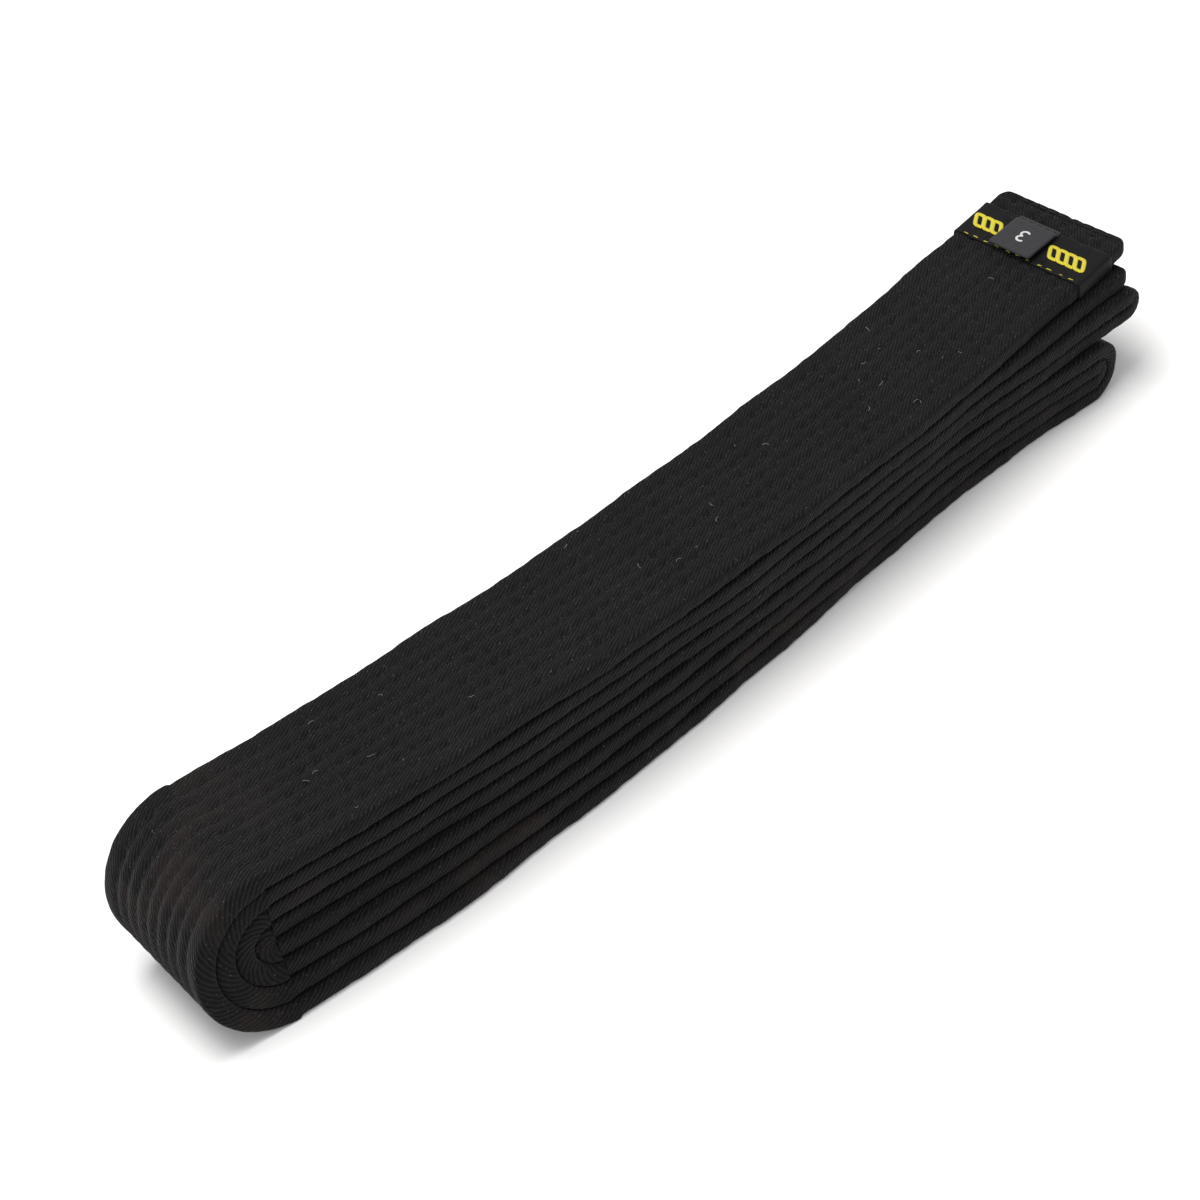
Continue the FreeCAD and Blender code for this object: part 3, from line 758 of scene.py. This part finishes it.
def surface_line(layer, stations, across, lift):
    """Points on top of a layer, raised by lift."""
    stations, across = np.broadcast_arrays(np.asarray(stations, float), np.asarray(across, float))
    z = layer_top(layer, stations) + lift
    return to_row(stations, 0.0, across + layer_shift(layer, stations), z)


def build_hems():
    """Cross rows of stitching near the two tips, stitch by stitch."""
    for layer, body in ((1, "top_leaf"), (2, "second_leaf")):
        lines = []
        for inset in HEM_ROWS:
            for centre in np.arange(-14.0, 15.0, HEM_PITCH):
                share = np.linspace(-1.0, 1.0, 6)
                lift = -0.12 - 0.3 * np.abs(share) ** 4
                across = centre + share * HEM_STITCH / 2.0
                lines.append(surface_line(layer, REACH[layer] - inset, across, lift))
        hem = strands(f"hem_stitches_{layer}", lines, 0.5, 0.34, THREAD)
        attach(hem, body)
        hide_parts(f"hem_stitching_{layer}")


def label_path():
    station = np.linspace(LABEL_START, LABEL_START + LABEL_WIDTH, 26)
    path = run_path(1, LABEL_START, LABEL_START + LABEL_WIDTH, LABEL_START, True, 1.0)
    order = {name: np.interp(station, path["station"], path[name]) for name in FIELDS}
    order["tip"] = np.full(len(station), 99.0)
    order["shift"] = np.zeros(len(station))
    return order


def build_label():
    """The sleeve of woven label round layer 1: an outer and an inner surface with rolled edges."""
    path = label_path()
    across, out, which = RING["across"][None, :], RING["out"][None, :], RING["which"][None, :]
    depth = path["depth"][:, None]
    sunk = 0.45 * relief(path["u"][:, None], across, which, 0.0, 99.0, row_offsets(1))
    hem = np.exp(-((path["u"] - LABEL_START - 0.5) / 0.7) ** 2)[:, None]
    hem = hem + np.exp(-((path["u"] - LABEL_START - LABEL_WIDTH + 0.5) / 0.7) ** 2)[:, None]
    slack = waves(path["u"][:, None] + 3.0 * across, 70, (31.0, 17.0), 0.06)

    def layer(grow, puff):
        wide = across * (1.0 + grow / (BELT_WIDTH / 2.0))
        high = out * (depth / 2.0 + grow) - np.sign(out) * sunk + np.sign(out) * puff
        return on_path(path, wide, high)
    outer = layer(LABEL_THICKNESS + PANEL_CROWN + 0.03, 0.1 * hem + slack)
    inner = layer(PANEL_CROWN + 0.04, 0.0)
    grid = np.concatenate([outer, inner[::-1]])
    rows, columns = grid.shape[:2]
    quads, i, j = grid_faces(rows, columns, close_rows=True)
    u = np.concatenate([path["u"], path["u"][::-1], path["u"][:1]])
    weave = np.stack([np.stack([u[r], RING["v"][c], u[r] + RING["v"][c]], axis=1)
                      for r, c in zip([i, i + 1, i + 1, i], [j, j, j + 1, j + 1])], axis=1)
    label = mesh_object("label_sleeve", grid, quads.tolist(), LABEL, weave.reshape(-1, 3))
    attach(label, "top_leaf")
    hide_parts("label_band")


LABEL_LIFT = LABEL_THICKNESS + PANEL_CROWN + 0.02


def build_label_stitches():
    """Yellow dashes along the label's near edge, and its woven pattern of slanted links."""
    lines = []
    rng = np.random.default_rng(31)
    for centre in np.arange(-17.1, 17.2, LABEL_DASH_PITCH):
        share = np.linspace(-1.0, 1.0, 7)
        lift = LABEL_LIFT + 0.05 - 0.2 * np.abs(share) ** 4
        station = LABEL_START + rng.uniform(0.5, 0.8) + rng.uniform(-0.15, 0.15) * share
        half = rng.uniform(0.6, 1.0)
        lines.append(surface_line(1, station, centre + rng.uniform(-0.3, 0.3) + share * half, lift))
    dashes = strands("label_edge_dashes", lines, 0.3, 0.26, YELLOW)
    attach(dashes, "top_leaf")
    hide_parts("label_edge_stitching")
    for side, (first, count) in MOTIF_ROWS.items():
        lines = [link_outline(first + MOTIF_PITCH * index) for index in range(count)]
        motif = strands(f"label_links_{side}", lines, 1.2, 0.42, YELLOW, closed=True)
        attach(motif, "top_leaf")
        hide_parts(f"label_motif_{side}")


def link_outline(centre):
    """A slanted link with rounded corners, on the label's top."""
    angle = np.linspace(0.0, 2.0 * math.pi, 48, endpoint=False)
    power = 0.45
    along = 2.15 * np.sign(np.cos(angle)) * np.abs(np.cos(angle)) ** power
    across = 1.3 * np.sign(np.sin(angle)) * np.abs(np.sin(angle)) ** power + 0.5 * along
    return surface_line(1, MOTIF_CENTRE + along, centre + across, LABEL_LIFT + 0.06)


def tag_point(along, across, up):
    """Tag frame to the row frame: along runs back from the tag's hinge line, over the label."""
    hinge = LABEL_START + LABEL_WIDTH - TAG_ROOT
    station = hinge - np.asarray(along, float)
    ground = layer_top(1, hinge) + LABEL_THICKNESS
    return to_row(station, 0.0, TAG_CENTRE - np.asarray(across, float), ground + np.asarray(up, float))


def tag_rise(along):
    """Height of the flap's middle above the label: it lifts off the root and bows slightly."""
    bow = 0.12 * np.sin(along / TAG_LENGTH * math.pi)
    return TAG_CLEARANCE + TAG_PLY + along * math.tan(math.radians(TAG_RISE)) + bow


def tag_grid(section, name, body, node):
    """Sweep a closed section of (along, up) points across the tag's width."""
    section = np.asarray(section, float)
    across = np.linspace(-TAG_WIDTH / 2.0, TAG_WIDTH / 2.0, 27)
    edge = 1.0 - 0.35 * np.exp(-((np.abs(across) - TAG_WIDTH / 2.0) / 0.3) ** 2)
    middle = tag_rise(section[:, 0]) if body == "size_tag" else np.full(len(section), section[:, 1].mean())
    curl = 0.1 * (across / (TAG_WIDTH / 2.0)) ** 2
    lift = np.clip(section[:, 0], 0.0, TAG_LENGTH)[:, None] / TAG_LENGTH * curl[None, :]
    up = middle[:, None] + (section[:, 1] - middle)[:, None] * edge[None, :] + lift
    grid = tag_point(section[:, 0][:, None] + 0.0 * up, across[None, :] + 0.0 * up, up)
    rows, columns = grid.shape[:2]
    quads, i, j = grid_faces(rows, columns, close_rows=True, close_columns=False)
    faces = quads.tolist()
    travel = np.concatenate([[0.0], np.cumsum(np.linalg.norm(np.diff(section, axis=0), axis=1))])
    travel = np.append(travel, travel[-1] + 0.4)
    weave = np.stack([np.stack([travel[r], across[c], travel[r]], axis=1)
                      for r, c in zip([i, i + 1, i + 1, i], [j, j, j + 1, j + 1])], axis=1).reshape(-1, 3)
    half = rows // 2
    for column in (0, columns - 1):
        for row in range(half - 1):
            low, high = rows - 1 - row, rows - 2 - row
            quad = [row * columns + column, (row + 1) * columns + column,
                    high * columns + column, low * columns + column]
            faces.append(quad if column else quad[::-1])
            ends = [row, row + 1, high, low]
            corners = [[travel[k], across[column] + section[k, 1], travel[k]] for k in ends]
            weave = np.concatenate([weave, corners if column else corners[::-1]])
    made = mesh_object(name, grid, faces, TAPE, weave)
    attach(made, body)
    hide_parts(node)
    return made


def build_tag():
    """Folded size tag: a sewn-down root and a raised flap of two plies with a round fold."""
    half = TAG_PLY * 1.3
    along = np.linspace(SEAM_GAP, TAG_LENGTH - half, 22)
    nose = np.linspace(math.pi / 2.0, -math.pi / 2.0, 8)[1:-1]

    def folded(radius):
        bend = [(along[-1] + radius * math.cos(a), tag_rise(along[-1]) + radius * math.sin(a)) for a in nose]
        top = [(x, tag_rise(x) + radius) for x in along]
        return top + bend + [(x, tag_rise(x) - radius) for x in along[::-1]]

    section = folded(half) + folded(half - TAG_PLY)[::-1]
    flap = tag_grid(section, "size_tag_flap_tape", "size_tag", "size_tag_flap")
    root_along = np.linspace(-TAG_ROOT, 0.15, 8)
    height = 2.0 * TAG_PLY
    root_section = [(x, height + 0.1 * smoothstep((x + 0.6) / 0.7)) for x in root_along]
    root_section += [(x, 0.06) for x in root_along[::-1]]
    tag_grid(root_section, "size_tag_root_tape", "top_leaf", "size_tag_root")
    lines = []
    for centre in np.arange(-5.2, 5.3, 2.6):
        share = np.linspace(-1.0, 1.0, 6)
        lines.append(tag_point(-0.85, centre + share * 0.95, height + 0.1 - 0.2 * np.abs(share) ** 4))
    sewn = strands("size_tag_stitches", lines, 0.4, 0.26, TAG_THREAD)
    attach(sewn, "top_leaf")
    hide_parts("size_tag_stitching")


def build_numeral():
    """The size figure, two open rings of pale yarn on the flap."""
    radius = NUMERAL_RADIUS - NUMERAL_STROKE / 2.0
    centre = TAG_LENGTH * 0.5
    lines = []
    for side, start in ((1.0, -90.0), (-1.0, -150.0)):
        angle = np.radians(np.linspace(start, start + 240.0, 28))
        x = radius * np.cos(angle)
        y = radius * np.sin(angle) + side * radius
        along, across = centre + y, -x
        up = tag_rise(along) + TAG_PLY * 1.3 + 0.04
        lines.append(tag_point(along, across, up))
    figure = strands("size_numeral_yarn", lines, NUMERAL_STROKE, 0.24, NUMERAL)
    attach(figure, "size_tag")
    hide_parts("size_numeral")


def build_lint():
    """A few stray fibres that cling to the top of the bundle."""
    rng = np.random.default_rng(77)
    lines = []
    for _ in range(LINT_FIBRES):
        station, across = rng.uniform(6.0, 278.0), rng.uniform(-17.5, 18.0)
        turn, length = rng.uniform(0.0, 2.0 * math.pi), rng.uniform(0.8, 2.6)
        curl = rng.uniform(-2.4, 2.4)
        share = np.linspace(0.0, 1.0, 9)
        angle = turn + curl * share
        stations = station + length * np.cumsum(np.cos(angle)) / 9.0
        lift = 0.17 + 0.25 * np.sin(math.pi * share) * rng.uniform(0.2, 1.0)
        lines.append(surface_line(1, stations, across + length * np.cumsum(np.sin(angle)) / 9.0, lift))
    lint = strands("lint_fibres", lines, 0.09, 0.09, LINT)
    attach(lint, "top_leaf")


# ---- studio -----------------------------------------------------------------------------------
def plain_material(name, colour, roughness):
    s = Shader(name, roughness, Specular_IOR_Level=0.1)
    speck = s.noise(s.place(), 60.0, 2.0)
    return s.finish(s.mix(s.math("MULTIPLY", speck, 0.04), colour, grey(0.8)))


def build_floor():
    size = 3.0
    mesh = bpy.data.meshes.new("floor")
    corners = [(-size, -size, 0), (size, -size, 0), (size, size, 0), (-size, size, 0)]
    mesh.from_pydata(corners, [], [(0, 1, 2, 3)])
    floor = bpy.data.objects.new("floor", mesh)
    mesh.materials.append(plain_material("floor_paper", grey(0.93), 0.9))
    bpy.context.scene.collection.objects.link(floor)


def area_light(name, at, aim, size, power, colour):
    data = bpy.data.lights.new(name, "AREA")
    data.shape, data.size, data.energy, data.color = "SQUARE", size, power, colour
    light = bpy.data.objects.new(name, data)
    light.location = at
    light.rotation_euler = (Vector(aim) - Vector(at)).to_track_quat("-Z", "Y").to_euler()
    bpy.context.scene.collection.objects.link(light)


def build_lights():
    world = bpy.data.worlds.new("studio")
    world.use_nodes = True
    world.node_tree.nodes["Background"].inputs[0].default_value = (1.0, 1.0, 1.0, 1.0)
    world.node_tree.nodes["Background"].inputs[1].default_value = 0.6
    bpy.context.scene.world = world
    bpy.context.scene.view_settings.view_transform = "Standard"
    area_light("overhead", (-0.1, 0.35, 1.3), (0.0, 0.0, 0.0), 0.9, 19.0, (1.0, 0.985, 0.97))
    area_light("nose_light", (-1.3, 0.15, 0.55), (-0.12, 0.0, 0.02), 0.7, 2.5, (0.96, 0.96, 1.0))


def build_camera():
    right, down = Vector(CAMERA_RIGHT), Vector(CAMERA_DOWN)
    forward = right.cross(down)
    turn = Matrix((right, -down, -forward)).transposed().to_4x4()
    data = bpy.data.cameras.new("camera")
    data.lens, data.sensor_width, data.clip_end = FOCAL_LENGTH, SENSOR, 20.0
    camera = bpy.data.objects.new("camera", data)
    camera.matrix_world = Matrix.Translation(Vector(CAMERA_AT) * MM) @ turn
    bpy.context.scene.collection.objects.link(camera)
    bpy.context.scene.camera = camera


build_camera()
build_lights()
build_floor()
outer_third = build_top_leaf()
outer_two_thirds = build_outer_nose(outer_third)
build_bottom_leaf(outer_two_thirds)
build_second_leaf()
build_inner_folds()
build_fixed_leaves()
build_hems()
build_label()
build_label_stitches()
build_tag()
build_numeral()
build_lint()
